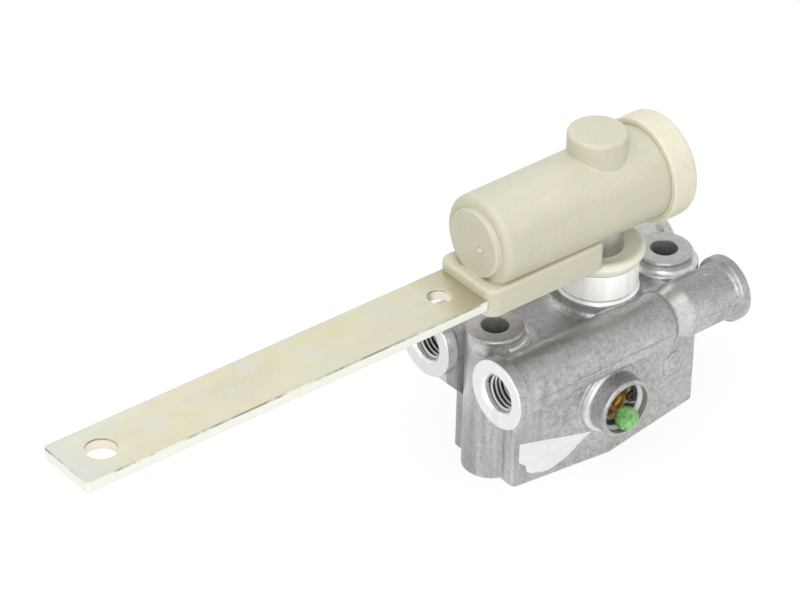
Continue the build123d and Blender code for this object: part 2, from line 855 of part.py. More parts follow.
def build_pieces():
    pieces = {
        "valve_body": valve_body(),
        "shaft_bush": shaft_bush(),
        "shaft_seal": shaft_seal(),
        "dust_seal": dust_seal(dust_seal_r),
        "bottom_cover": bottom_cover(),
        "bottom_cover_seal": bottom_cover_seal(),
        "bottom_cover_ring": bottom_cover_ring(),
        "exhaust_filter": exhaust_filter(),
        "exhaust_flap": exhaust_flap(),
        "exhaust_plug": exhaust_plug(),
        "exhaust_ring": exhaust_ring(),
        "control_shaft": control_shaft(),
        "hub_clip": hub_clip(),
        "rocker": rocker(),
        "rocker_clip": rocker_clip(),
        "damper_housing": damper_housing(),
        "damper_cap": damper_cap(),
        "cap_seal": cap_seal(),
        "control_lever": control_lever(),
        "damper_piston": damper_piston(),
        "piston_rings": Compound(children=piston_rings()),
        "left_spring": left_spring(),
        "right_spring": right_spring(),
    }
    for side in ("front", "rear"):
        pieces[f"{side}_slide"] = in_circuit(side, slide())
        pieces[f"{side}_slide_seals"] = Compound(children=[in_circuit(side, ring) for ring in slide_seals()])
        pieces[f"{side}_spring_plate"] = in_circuit(side, spring_plate())
        pieces[f"{side}_check_spring"] = in_circuit(side, check_spring())
        pieces[f"{side}_check_poppet"] = in_circuit(side, check_poppet())
        pieces[f"{side}_check_seat"] = in_circuit(side, check_seat())
        pieces[f"{side}_throttle"] = in_circuit(side, throttle())
    return pieces


os.makedirs("parts", exist_ok=True)
for name, piece in build_pieces().items():
    export_step(piece, f"parts/{name}.step")
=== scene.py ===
# Looks of the air suspension levelling valve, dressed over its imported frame
import json
from math import cos, pi, radians, sin

import bpy
import numpy as np
from mathutils import Matrix, Vector


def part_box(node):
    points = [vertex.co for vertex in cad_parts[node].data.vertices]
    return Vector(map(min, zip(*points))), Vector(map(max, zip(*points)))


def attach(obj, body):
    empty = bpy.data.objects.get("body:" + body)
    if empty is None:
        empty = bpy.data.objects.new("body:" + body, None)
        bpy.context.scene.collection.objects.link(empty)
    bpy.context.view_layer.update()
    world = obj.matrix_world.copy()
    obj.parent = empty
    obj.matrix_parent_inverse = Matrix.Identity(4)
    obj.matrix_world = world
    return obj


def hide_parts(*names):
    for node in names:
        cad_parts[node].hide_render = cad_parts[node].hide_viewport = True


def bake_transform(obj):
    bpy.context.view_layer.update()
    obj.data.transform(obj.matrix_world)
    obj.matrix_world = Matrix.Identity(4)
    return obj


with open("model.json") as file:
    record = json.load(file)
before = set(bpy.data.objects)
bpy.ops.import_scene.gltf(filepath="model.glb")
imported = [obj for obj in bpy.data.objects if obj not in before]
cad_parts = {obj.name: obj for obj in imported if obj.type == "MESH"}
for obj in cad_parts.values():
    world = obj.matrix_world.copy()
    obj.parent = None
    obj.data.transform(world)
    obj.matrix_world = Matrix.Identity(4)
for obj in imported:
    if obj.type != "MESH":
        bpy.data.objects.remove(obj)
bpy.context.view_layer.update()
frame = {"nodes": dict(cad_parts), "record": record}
nodes = frame["nodes"]
mm = 0.001
scene = bpy.context.scene
scene.view_settings.view_transform = "Standard"
print("frame loaded,", len(nodes), "nodes")

# camera and light

cameraSetup = {
    "azimuth": -39.68,      # degrees round the part
    "elevation": 35.028,
    "roll": 1.349,
    "distance": 1.45542,    # metres
    "target": (0.0797, 0.18756, -0.09646),
    "lens": 183.73,
}


def makeCamera(setup):
    azimuth, elevation, roll = (radians(setup[k]) for k in ("azimuth", "elevation", "roll"))
    back = Vector((sin(azimuth) * cos(elevation), -cos(azimuth) * cos(elevation), sin(elevation)))
    right = Vector((cos(azimuth), sin(azimuth), 0))
    up = back.cross(right)
    side = right * cos(roll) + up * sin(roll)
    head = up * cos(roll) - right * sin(roll)
    data = bpy.data.cameras.new("camera")
    data.lens = setup["lens"]
    data.sensor_width = 36
    data.clip_start, data.clip_end = 0.05, 60
    camera = bpy.data.objects.new("camera", data)
    turn = Matrix((side, head, back)).transposed().to_4x4()
    camera.matrix_world = Matrix.Translation(Vector(setup["target"]) + back * setup["distance"]) @ turn
    scene.collection.objects.link(camera)
    scene.camera = camera


makeCamera(cameraSetup)

lamps = {
    # name: place, aimed at, size, watts
    "keyLamp": ((-0.55, -0.35, 1.25), (-0.02, 0, 0.05), 1.0, 4.4),
    "fillLamp": ((-0.75, -0.95, 0.45), (0.0, 0, 0.04), 0.9, 6.8),
    "sideLamp": ((1.0, -0.9, 0.5), (0.0, 0, 0.04), 0.9, 0.3),
    "rimLamp": ((0.35, 1.1, 0.9), (0.0, 0, 0.05), 0.8, 1.2),
}


def makeLamp(name, place, aim, size, watts):
    data = bpy.data.lights.new(name, "AREA")
    data.shape = "SQUARE"
    data.size = size
    data.energy = watts
    lamp = bpy.data.objects.new(name, data)
    away = Vector(place) - Vector(aim)
    lamp.matrix_world = Matrix.Translation(Vector(place)) @ away.to_track_quat("Z", "Y").to_matrix().to_4x4()
    scene.collection.objects.link(lamp)


for lampName, lampValues in lamps.items():
    makeLamp(lampName, *lampValues)
print("camera and lamps ready")

# node helpers


def addNode(tree, kind, inputs=None, **settings):
    node = tree.nodes.new(kind)
    for name, value in settings.items():
        setattr(node, name, value)
    for name, value in (inputs or {}).items():
        if isinstance(value, bpy.types.NodeSocket):
            tree.links.new(value, node.inputs[name])
        else:
            node.inputs[name].default_value = value
    return node


def calc(tree, operation, *values, clamp=False):
    return addNode(tree, "ShaderNodeMath", dict(enumerate(values)), operation=operation, use_clamp=clamp).outputs[0]


def chain(tree, operation, first, *others):
    """Carries an operation of two values over several, from the left."""
    for value in others:
        first = calc(tree, operation, first, value)
    return first


def times(tree, *values):
    return chain(tree, "MULTIPLY", *values)


def largest(tree, *values):
    return chain(tree, "MAXIMUM", *values)


def above(tree, value, limit):
    return calc(tree, "GREATER_THAN", value, limit)


def below(tree, value, limit):
    return calc(tree, "LESS_THAN", value, limit)


def mixColour(tree, share, low, high):
    node = addNode(tree, "ShaderNodeMix", data_type="RGBA")
    for socket, value in ((node.inputs[0], share), (node.inputs[6], low), (node.inputs[7], high)):
        if isinstance(value, bpy.types.NodeSocket):
            tree.links.new(value, socket)
        else:
            socket.default_value = (*value, 1) if isinstance(value, tuple) else value
    return node.outputs[2]


def layer(tree, colour, *coats):
    """Lays colours over a colour one after another, each with its share."""
    for share, coat in coats:
        colour = mixColour(tree, share, colour, coat)
    return colour


def ramp(tree, value, low, high, start=0.0, end=1.0):
    """Maps value from low..high to start..end, held at both ends."""
    node = addNode(tree, "ShaderNodeMapRange", {"From Min": low, "From Max": high, "To Min": start, "To Max": end})
    tree.links.new(value, node.inputs["Value"])
    return node.outputs[0]


def band(tree, value, rise, fall):
    """1 between two slopes of a value, each given by where it starts and where it ends."""
    return times(tree, ramp(tree, value, *rise), ramp(tree, value, *fall))


def slopes(tree, values, limits):
    """Ramps of several values, such as x, y and z, multiplied together."""
    return times(tree, *(ramp(tree, value, *pair) for value, pair in zip(values, limits)))


def noise(tree, vector, scale, detail=3.0, roughness=0.55):
    inputs = {"Vector": vector, "Scale": scale, "Detail": detail, "Roughness": roughness}
    return addNode(tree, "ShaderNodeTexNoise", inputs).outputs[0]


def vectorCalc(tree, operation, vector, other):
    return addNode(tree, "ShaderNodeVectorMath", {0: vector, 1: other}, operation=operation).outputs[0]


def facingUp(tree):
    """1 on a level face and 0 on a wall."""
    facing = addNode(tree, "ShaderNodeTexCoord").outputs["Normal"]
    return addNode(tree, "ShaderNodeSeparateXYZ", {0: facing}).outputs[2]


def placeInMm(tree):
    """Object coordinates in millimetres, whole and as x, y, z."""
    coordinate = addNode(tree, "ShaderNodeTexCoord").outputs["Object"]
    scaled = addNode(tree, "ShaderNodeVectorMath", {0: coordinate, "Scale": 1000}, operation="SCALE").outputs[0]
    split = addNode(tree, "ShaderNodeSeparateXYZ", {0: scaled})
    return scaled, split.outputs[0], split.outputs[1], split.outputs[2]


def radiusFrom(tree, a, b, centreA=0.0, centreB=0.0):
    """Distance of a point from an axis, from its two coordinates across that axis."""
    da, db = calc(tree, "SUBTRACT", a, centreA), calc(tree, "SUBTRACT", b, centreB)
    return calc(tree, "SQRT", calc(tree, "ADD", times(tree, da, da), times(tree, db, db)))


def makeGroup(name, inputs, outputs):
    tree = bpy.data.node_groups.new(name, "ShaderNodeTree")
    for label, kind, value in inputs:
        socket = tree.interface.new_socket(label, in_out="INPUT", socket_type=kind)
        if value is not None:
            socket.default_value = value
    for label, kind in outputs:
        tree.interface.new_socket(label, in_out="OUTPUT", socket_type=kind)
    return tree, tree.nodes.new("NodeGroupInput").outputs, tree.nodes.new("NodeGroupOutput").inputs


def useGroup(tree, group, **inputs):
    node = addNode(tree, "ShaderNodeGroup", node_tree=group)
    for name, value in inputs.items():
        if isinstance(value, bpy.types.NodeSocket):
            tree.links.new(value, node.inputs[name])
        else:
            node.inputs[name].default_value = value
    return node.outputs


skinForm = {
    # noises are scale over the size, detail and roughness; shares are those of blotch, grain and cloud
    "noises": ((1.0, 4.0, 0.62), (1.0, 2.0, 0.5), (0.2, 1.0, 0.5)), "sizes": ("Blotch", "Grain", "Blotch"),
    "shadeShares": (0.5, 0.3, 0.2), "shadeBand": (0.34, 0.66), "reliefShares": (0.4, 0.6),
}
latheForm = {"noise": (1.0, 2.0, 0.7), "shadeBand": (0.3, 0.7)}
edgeForm = {"leanBand": (0.995, 0.75), "samples": 6}


def makeSkinGroup(form):
    """Blotches, grain and wide clouds of a surface, at sizes given in millimetres."""
    tree, given, out = makeGroup(
        "surfaceSkin",
        [("Place", "NodeSocketVector", None), ("Blotch", "NodeSocketFloat", 3.0), ("Grain", "NodeSocketFloat", 0.5)],
        [("Shade", "NodeSocketFloat"), ("Relief", "NodeSocketFloat")],
    )
    layers = [
        noise(tree, given["Place"], calc(tree, "DIVIDE", scale, given[size]), detail, roughness)
        for (scale, detail, roughness), size in zip(form["noises"], form["sizes"])
    ]
    for shares, label in ((form["shadeShares"], "Shade"), (form["reliefShares"], "Relief")):
        total = chain(tree, "ADD", *(times(tree, part, share) for part, share in zip(layers, shares)))
        tree.links.new(ramp(tree, total, *form["shadeBand"]) if label == "Shade" else total, out[label])
    return tree


def makeLatheGroup(form):
    """Fine turned lines across a coordinate, their pitch in millimetres."""
    tree, given, out = makeGroup(
        "turnedLines",
        [("Along", "NodeSocketFloat", 0.0), ("Pitch", "NodeSocketFloat", 0.2)],
        [("Shade", "NodeSocketFloat"), ("Relief", "NodeSocketFloat")],
    )
    phase = calc(tree, "DIVIDE", given["Along"], given["Pitch"])
    vector = addNode(tree, "ShaderNodeCombineXYZ", {0: phase}).outputs[0]
    lines = noise(tree, vector, *form["noise"])
    tree.links.new(ramp(tree, lines, *form["shadeBand"]), out["Shade"])
    tree.links.new(lines, out["Relief"])
    return tree


skinGroup = makeSkinGroup(skinForm)
latheGroup = makeLatheGroup(latheForm)


def startMaterial(name):
    material = bpy.data.materials.new(name)
    material.use_nodes = True
    tree = material.node_tree
    tree.nodes.clear()
    shader = addNode(tree, "ShaderNodeBsdfPrincipled")
    output = addNode(tree, "ShaderNodeOutputMaterial")
    tree.links.new(shader.outputs[0], output.inputs["Surface"])
    return material, tree, shader


def softNormal(tree, radius):
    return addNode(tree, "ShaderNodeBevel", {"Radius": radius * mm}, samples=edgeForm["samples"]).outputs[0]


def edgeMask(tree, radius):
    """1 on a sharp edge and 0 beyond the radius, from how far the softened normal leans."""
    soft = softNormal(tree, radius)
    true = addNode(tree, "ShaderNodeNewGeometry").outputs["Normal"]
    lean = addNode(tree, "ShaderNodeVectorMath", {0: soft, 1: true}, operation="DOT_PRODUCT").outputs["Value"]
    return ramp(tree, lean, *edgeForm["leanBand"])


def setRelief(tree, shader, height, depth, edge):
    """Joins a height to the shader as a bump of that depth, over edges softened by a small radius."""
    inputs = {"Height": height, "Distance": depth * mm, "Strength": 1.0}
    if edge:
        inputs["Normal"] = softNormal(tree, edge)
    tree.links.new(addNode(tree, "ShaderNodeBump", inputs).outputs[0], shader.inputs["Normal"])


# finishes

plainFinishes = {
    # colours are low and high ends of the skin, depth and edge are in millimetres
    "nylon": {"low": (0.61, 0.59, 0.455), "high": (0.69, 0.665, 0.53), "rough": (0.36, 0.46), "metal": 0.0,
              "blotch": 9.0, "grain": 1.2, "depth": 0.02, "edge": 1.0, "through": 0.3,
              # the edge colour is a painted highlight; the side shade and the colour for hollows are painted shade
              "edgeHighlight": (0.86, 0.84, 0.72), "sideShade": 0.80, "creviceShade": (0.40, 0.34, 0.20), "creviceReach": 5.0,
              # the next colour is painted light on the thin cup
              "cupLight": (0.77, 0.755, 0.67), "footBand": (65.0, 61.5)},
    "capNylon": {"low": (0.76, 0.72, 0.56), "high": (0.84, 0.80, 0.65), "rough": (0.38, 0.48), "metal": 0.0,
                 "blotch": 7.0, "grain": 1.0, "depth": 0.02, "edge": 0.7, "through": 0.3,
                 "edgeHighlight": (0.93, 0.89, 0.75), "sideShade": 0.82,
                 # the colour for hollows is painted shade
                 "creviceShade": (0.52, 0.42, 0.24), "creviceReach": 2.5},
    "pistonPlastic": {"low": (0.66, 0.65, 0.60), "high": (0.74, 0.73, 0.68), "rough": (0.35, 0.45), "metal": 0.0,
                      "blotch": 6.0, "grain": 0.8, "depth": 0.01, "edge": 0.2, "through": 0.05},
    # the pale high end of the green is partly the plastic's own mottling and partly painted highlight
    "greenPlastic": {"low": (0.01, 0.17, 0.015), "high": (0.31, 0.61, 0.22), "rough": (0.12, 0.22), "metal": 0.0,
                     "blotch": 2.4, "grain": 0.9, "depth": 0.5, "edge": 0.4, "through": 0.1,
                     "stem": (0.34, 0.22, 0.09), "stemBand": (-22.0, -21.7)},
    "shaftSteel": {"low": (0.36, 0.36, 0.33), "high": (0.52, 0.52, 0.48), "rough": (0.28, 0.42), "metal": 1.0,
                   "blotch": 4.0, "grain": 0.4, "depth": 0.01, "edge": 0.2, "through": 0.0},
    "springSteel": {"low": (0.52, 0.52, 0.51), "high": (0.68, 0.68, 0.67), "rough": (0.22, 0.34), "metal": 1.0,
                    "blotch": 2.0, "grain": 0.3, "depth": 0.01, "edge": 0.15, "through": 0.0},
    "blackSteel": {"low": (0.02, 0.02, 0.02), "high": (0.06, 0.06, 0.06), "rough": (0.22, 0.38), "metal": 0.4,
                   "blotch": 1.5, "grain": 0.3, "depth": 0.02, "edge": 0.15, "through": 0.0},
    "bronze": {"low": (0.56, 0.33, 0.10), "high": (0.86, 0.60, 0.25), "rough": (0.30, 0.45), "metal": 1.0,
               "blotch": 1.8, "grain": 0.35, "depth": 0.02, "edge": 0.15, "through": 0.0},
    "blackRubber": {"low": (0.018, 0.018, 0.018), "high": (0.035, 0.035, 0.034), "rough": (0.5, 0.7), "metal": 0.0,
                    "blotch": 2.0, "grain": 0.3, "depth": 0.01, "edge": 0.1, "through": 0.0},
    "coverAluminium": {"low": (0.48, 0.48, 0.475), "high": (0.64, 0.64, 0.63), "rough": (0.28, 0.40), "metal": 0.9,
                       "blotch": 3.0, "grain": 0.4, "depth": 0.01, "edge": 0.3, "through": 0.0},
    "blankPaper": {"low": (0.70, 0.70, 0.715), "high": (0.80, 0.80, 0.81), "rough": (0.55, 0.7), "metal": 0.0,
                   "blotch": 3.5, "grain": 0.6, "depth": 0.02, "edge": 0.0, "through": 0.0},
}

moulded = {
    # shared by the moulded plastics, also for their painted shade on sides and in hollows
    "upwardBand": (0.42, 1.0), "sideTint": (1, 0.995, 0.98), "creviceBand": (0.62, 0.15, 0.0, 0.9),
    "throughRadius": (1.0, 0.85, 0.5), "throughDepth": 2.5,     # millimetres, times how far each colour travels
    "creviceSamples": 8,
}


def plainFinish(name, values):
    material, tree, shader = startMaterial(name)
    place, _, inward, height = placeInMm(tree)
    skin = useGroup(tree, skinGroup, Place=place, Blotch=values["blotch"], Grain=values["grain"])
    colour = mixColour(tree, skin["Shade"], values["low"], values["high"])
    if "stem" in values:
        # the stem behind the plug's head is brown from the filter
        colour = mixColour(tree, ramp(tree, inward, *values["stemBand"]), colour, values["stem"])
    if "sideShade" in values:
        # painted shade: the sides are a little darker than faces that look up; painted highlight: thin edges are
        # paler
        upward = ramp(tree, facingUp(tree), *moulded["upwardBand"])
        shaded = tuple(part * values["sideShade"] for part in moulded["sideTint"])
        colour = vectorCalc(tree, "MULTIPLY", colour, mixColour(tree, upward, shaded, (1.0, 1.0, 1.0)))
        colour = mixColour(tree, edgeMask(tree, values["edge"]), colour, values["edgeHighlight"])
    if "creviceShade" in values:
        # painted shade: hollows and tight corners are darker and browner, found by an occlusion node
        reach = values["creviceReach"] * mm
        shadow = addNode(tree, "ShaderNodeAmbientOcclusion", {"Distance": reach}, samples=moulded["creviceSamples"])
        colour = mixColour(tree, ramp(tree, shadow.outputs["AO"], *moulded["creviceBand"]), colour, values["creviceShade"])
    if "cupLight" in values:
        # painted light: the thin cup low down is paler, as if light came through it
        colour = mixColour(tree, ramp(tree, height, *values["footBand"]), colour, values["cupLight"])
    tree.links.new(colour, shader.inputs["Base Color"])
    tree.links.new(ramp(tree, skin["Shade"], 0, 1, *values["rough"]), shader.inputs["Roughness"])
    shader.inputs["Metallic"].default_value = values["metal"]
    if values["through"]:
        shader.inputs["Subsurface Weight"].default_value = values["through"]
        shader.inputs["Subsurface Radius"].default_value = moulded["throughRadius"]
        shader.inputs["Subsurface Scale"].default_value = moulded["throughDepth"] * mm
    setRelief(tree, shader, skin["Relief"], values["depth"], values["edge"])
    return material


# places on the body in millimetres, taken from the CAD
barrelY, barrelZ = 16.4, 40.0       # axes of the barrels, at minus and plus Y
leftPostX, rightPostX = -39.6, 26.6
exhaustX, exhaustZ = -8.0, 19.7
leftCorner, wallBend, rightCorner = (-42.3, -13.9), (-8.0, -18.0), (30.5, -12.6)
leftWall, rightWall = (leftCorner, wallBend), (wallBend, rightCorner)      # front walls, seen from above
rodHoleX, smallHoleX = -179.8, -61.4

castFinish = {
    # noises are scale, detail and roughness; bands say where a share starts and is full, and its two values
    "castLow": (0.295, 0.295, 0.293), "castHigh": (0.62, 0.62, 0.612), "blotch": 1.9, "grain": 0.8,
    "drawnStretch": (1.0, 1.0, 0.07), "drawnNoise": (0.45, 3.0, 0.55), "drawnBand": (0.32, 0.68),
    "paintedShadeColour": (0.22, 0.22, 0.218), "upwardBand": (0.25, 0.95), "upwardShare": 0.65,      # painted shade on faces that look up
    "speckAndShadeColour": (0.16, 0.16, 0.16), "speckNoise": (2.2, 2.0, 0.6), "speckBand": (0.58, 0.76),
    # the bright colour is partly wear on edges and partly painted highlight
    "wearAndHighlightColour": (0.86, 0.86, 0.85), "wearAndHighlightRange": (0.65, 1.0), "edgeShare": 0.4, "edgeReach": 0.9,
    "creaseShadeShare": 0.6,
    "bareLow": (0.78, 0.78, 0.775), "bareHigh": (0.95, 0.95, 0.94), "turnedPitch": 0.35,       # machined
    "portFaceShadeColour": (0.64, 0.64, 0.62), "neckSheenColour": (0.99, 0.99, 0.965), "neckShare": 0.7,
    "reflectionBandColour": (0.72, 0.735, 0.69), "bandStretch": (1.0, 1.0, 0.0), "bandNoise": (0.22, 2.0, 0.5),
    "bandBand": (0.34, 0.54, 0.5, 0.0),
    "grooveShadeColour": (0.42, 0.42, 0.415), "mouthShadeColour": (0.31, 0.31, 0.28),
    "topLow": (0.33, 0.31, 0.29), "topHigh": (0.46, 0.44, 0.42),        # sawn top of the left column
    "rightTopLow": (0.35, 0.35, 0.34), "rightTopHigh": (0.49, 0.49, 0.48),
    "castRough": (0.42, 0.28), "wearAndHighlightGloss": 0.08, "bareRough": (0.3, 0.26), "metal": (0.68, 0.15),
    "grainDepth": 0.06, "bareSmooth": 0.9, "turnedDepth": 0.15, "edge": 0.7,
}

castZones = {
    # millimetres: limits of a zone, or slopes from where it starts to where it is full, and its two values
    "leftFaces": -52.4, "rightFaces": 38.1, "portFaceShade": (-5.0, 5.0, 0.22, 0.6), "bore": 6.8,
    "neck": 13.3, "neckFoot": 48.7, "groove": (49.6, 0.28),
    "rim": 8.2, "rimBack": -12.0, "mouthWall": 7.9, "mouthFront": -22.45,
    "topHeight": 49.6, "topFromShaft": 13.0, "topAcross": 9.0,
    "drawn": ((-27.0, -34.0), (46.0, 38.0, 0.0, 0.55)),     # along X and Z
    "clearOfPosts": (11.0, 13.5), "clearOfShaft": (15.0, 18.0), "boss": 11.5, "bossFront": -17.5,
    "leftFootShade": ((-36.0, -40.0), (-4.0, 2.0), (30.0, 20.0, 0.0, 0.45)),     # along X, Y and Z
    "barrelTop": ((-6.0, -9.0), (33.0, 38.0)),      # along Y and Z
    "creaseShade": ((9.3, 9.7), (10.6, 10.1)),
}
highlightZones = {
    # painted highlights: how bright each patch gets, and its slopes
    "flares": (0.5, ((8.2, 8.8), (11.0, 10.4)), ((44.6, 45.4), (48.6, 48.0))),     # from the columns, along Z
    "bossFoot": (0.85, ((9.6, 10.0), (11.5, 10.9)), (-8.0, -13.0), -15.0),      # from the boss, along X, limit in Y
    "corner": (0.5, (1.5, 0.4)),
    "farSide": (0.5, ((4.0, 14.0), (5.0, 12.0))),       # along X and Y
    "recess": (0.4, ((-30.0, -36.0), (-3.0, 4.0), (18.0, 28.0))),
    "waist": (0.4, ((10.4, 11.2), (18.0, 16.0))),
}


def castMaterial(values, zones, highlights):
    """Cast skin all over, with turned port faces, neck, bores and exhaust rim."""
    material, tree, shader = startMaterial("castAluminium")
    place, x, y, z = placeInMm(tree)
    skin = useGroup(tree, skinGroup, Place=place, Blotch=values["blotch"], Grain=values["grain"])
    shade = skin["Shade"]
    across = calc(tree, "ABSOLUTE", y)
    fromBarrel = radiusFrom(tree, across, z, barrelY, barrelZ)
    fromShaft = radiusFrom(tree, x, y)
    fromExhaust = radiusFrom(tree, x, z, exhaustX, exhaustZ)
    fromPosts = calc(tree, "MINIMUM", radiusFrom(tree, x, y, leftPostX), radiusFrom(tree, x, y, rightPostX))

    # machined zones
    portFaces = largest(tree, below(tree, x, zones["leftFaces"]), above(tree, x, zones["rightFaces"]))
    bores = below(tree, fromBarrel, zones["bore"])
    neck = times(tree, below(tree, fromShaft, zones["neck"]), above(tree, z, zones["neckFoot"]))
    rim = times(tree, below(tree, fromExhaust, zones["rim"]), below(tree, y, zones["rimBack"]))
    bare = largest(tree, portFaces, bores, neck, rim)
    polished = largest(tree, neck, rim)
    tops = times(tree, above(tree, z, zones["topHeight"]), above(tree, fromShaft, zones["topFromShaft"]),
                 below(tree, across, zones["topAcross"]))
    mouthWall = times(tree, below(tree, y, zones["mouthFront"]), above(tree, fromExhaust, zones["mouthWall"]))
    groove = calc(tree, "COMPARE", z, *zones["groove"])
    # painted shade on the turned port faces, stronger towards the rear
    portFaceShade = times(tree, portFaces, ramp(tree, y, *zones["portFaceShade"]))

    # draw marks of the die on the left end, painted shade on faces that look up, dark specks
    drawnPlace = vectorCalc(tree, "MULTIPLY", place, values["drawnStretch"])
    drawn = ramp(tree, noise(tree, drawnPlace, *values["drawnNoise"]), *values["drawnBand"])
    clear = calc(tree, "MINIMUM", ramp(tree, fromPosts, *zones["clearOfPosts"]),
                 ramp(tree, fromShaft, *zones["clearOfShaft"]))
    onBoss = times(tree, below(tree, fromExhaust, zones["boss"]), below(tree, y, zones["bossFront"]))
    # painted shade: faces that look up are darker, except near the posts, the shaft and the boss
    upward = times(tree, ramp(tree, facingUp(tree), *values["upwardBand"]),
                   calc(tree, "SUBTRACT", clear, onBoss, clamp=True))
    specks = ramp(tree, noise(tree, place, *values["speckNoise"]), *values["speckBand"])

    # painted highlights on patches, and every edge a little brighter, partly wear and partly painted highlight
    barrelTop = slopes(tree, (y, z), zones["barrelTop"])
    _, flareWay, flareHeight = highlights["flares"]
    _, footWay, footX, footFront = highlights["bossFoot"]
    patches = {
        "flares": times(tree, band(tree, fromPosts, *flareWay), band(tree, z, *flareHeight)),
        "bossFoot": times(tree, band(tree, fromExhaust, *footWay), ramp(tree, x, *footX), below(tree, y, footFront)),
        "corner": times(tree, ramp(tree, radiusFrom(tree, x, y, *leftCorner), *highlights["corner"][1]), drawn),
        "farSide": slopes(tree, (x, y), highlights["farSide"][1]),
        "recess": slopes(tree, (x, y, z), highlights["recess"][1]),
        "waist": times(tree, barrelTop, band(tree, x, *highlights["waist"][1])),
    }
    bright = largest(tree, times(tree, edgeMask(tree, values["edgeReach"]), values["edgeShare"]),
                     *(times(tree, patch, highlights[name][0]) for name, patch in patches.items()))
    bright = times(tree, bright, ramp(tree, shade, 0, 1, *values["wearAndHighlightRange"]))
    # painted shade where the barrel steps down to the waist, in the speck colour
    creaseShade = times(tree, barrelTop, band(tree, x, *zones["creaseShade"]), values["creaseShadeShare"])

    castColour = layer(
        tree, mixColour(tree, shade, values["castLow"], values["castHigh"]),
        (slopes(tree, (x, z), zones["drawn"]), mixColour(tree, drawn, values["castLow"], values["castHigh"])),
        (times(tree, upward, values["upwardShare"]), values["paintedShadeColour"]),
        # painted shade, darker towards the bottom of the left end between the barrels
        (slopes(tree, (x, y, z), zones["leftFootShade"]), values["paintedShadeColour"]),
        (specks, values["speckAndShadeColour"]),
        (bright, values["wearAndHighlightColour"]),
        (creaseShade, values["speckAndShadeColour"]),
    )
    # painted reflection: soft upright stripes round the turned neck
    bandPlace = vectorCalc(tree, "MULTIPLY", place, values["bandStretch"])
    reflectionBands = ramp(tree, noise(tree, bandPlace, *values["bandNoise"]), *values["bandBand"])
    turned = useGroup(tree, latheGroup, Along=calc(tree, "ADD", fromBarrel, z), Pitch=values["turnedPitch"])
    bareColour = layer(
        tree, mixColour(tree, turned["Shade"], values["bareLow"], values["bareHigh"]),
        (portFaceShade, values["portFaceShadeColour"]),
        # the neck's own pale metal, raised to near white as a painted reflection
        (times(tree, neck, values["neckShare"]), values["neckSheenColour"]),
        (times(tree, reflectionBands, neck), values["reflectionBandColour"]),
        # painted shade in the groove round the neck
        (times(tree, groove, neck), values["grooveShadeColour"]),
        # painted shade on the wall of the exhaust mouth
        (times(tree, mouthWall, rim), values["mouthShadeColour"]),
    )
    leftTop = mixColour(tree, shade, values["topLow"], values["topHigh"])
    rightTop = mixColour(tree, shade, values["rightTopLow"], values["rightTopHigh"])
    topColour = mixColour(tree, above(tree, x, 0.0), leftTop, rightTop)
    tree.links.new(layer(tree, castColour, (bare, bareColour), (tops, topColour)), shader.inputs["Base Color"])

    castRough = calc(tree, "SUBTRACT", ramp(tree, shade, 0, 1, *values["castRough"]),
                     times(tree, bright, values["wearAndHighlightGloss"]))
    rough = calc(tree, "ADD", times(tree, castRough, calc(tree, "SUBTRACT", 1.0, bare)),
                 times(tree, bare, ramp(tree, polished, 0, 1, *values["bareRough"])))
    tree.links.new(rough, shader.inputs["Roughness"])
    tree.links.new(ramp(tree, polished, 0, 1, *values["metal"]), shader.inputs["Metallic"])
    grained = calc(tree, "SUBTRACT", 1.0, times(tree, bare, values["bareSmooth"]))
    relief = calc(tree, "ADD", times(tree, skin["Relief"], grained),
                  times(tree, turned["Relief"], times(tree, bare, values["turnedDepth"])))
    setRelief(tree, shader, relief, values["grainDepth"], values["edge"])
    return material


leverFinish = {
    # noises and bands as for the casting, lengths in millimetres
    "silver": (0.61, 0.605, 0.495), "yellow": (0.63, 0.58, 0.40), "yellowBand": (0.36, 0.62),
    "pink": (0.63, 0.55, 0.46), "pinkBand": (0.54, 0.72, 0.0, 0.8),
    "green": (0.53, 0.575, 0.42), "greenBand": (0.44, 0.28, 0.0, 0.8),
    "streakStretch": (0.16, 1.0, 1.0), "yellowNoise": (0.12, 4.0, 0.6),
    "secondShift": (31, 7, 5), "secondNoise": (0.16, 4.0, 0.6),
    "farEnd": (0.57, 0.60, 0.56), "farEndX": (-176.0, -190.0), "farEndShare": 0.8,
    "blotchNoise": (0.09, 2.0, 0.5), "blotchBand": (0.56, 0.72, 0.0, 0.6),
    # the next colour is painted shade and a painted reflection of the nylon, near the socket
    "root": (0.44, 0.39, 0.24), "rootX": (-66.0, -52.0, 0.0, 0.75),
    "side": (0.84, 0.85, 0.76), "sideBand": (0.6, 0.3),
    "holeWall": (0.86, 0.79, 0.66), "holeReach": 4.9, "smallHoleLess": 1.2,
    "arris": (0.25, 0.20, 0.16), "arrisHeight": (68.55, 68.85), "arrisNoise": (0.07, 4.0, 0.7),
    "arrisBand": (0.40, 0.56, 0.1, 0.85),
    "stain": (0.46, 0.50, 0.46), "stainPlace": (-132.8, 0.8), "stainSquash": 0.4, "stainReach": (8.0, 1.0),
    "stainNoise": (0.9, 4.0, 0.75), "stainBand": (0.36, 0.66), "stainShare": 0.55,
    "blotch": 4.0, "grain": 0.5, "rough": (0.3, 0.46), "metal": 0.6,
    "scratchStretch": (0.05, 1.0, 1.0), "scratchNoise": (2.5, 2.0, 0.6), "skinShare": 0.6,
    "scratchDepth": 0.02, "edge": 0.35,
}


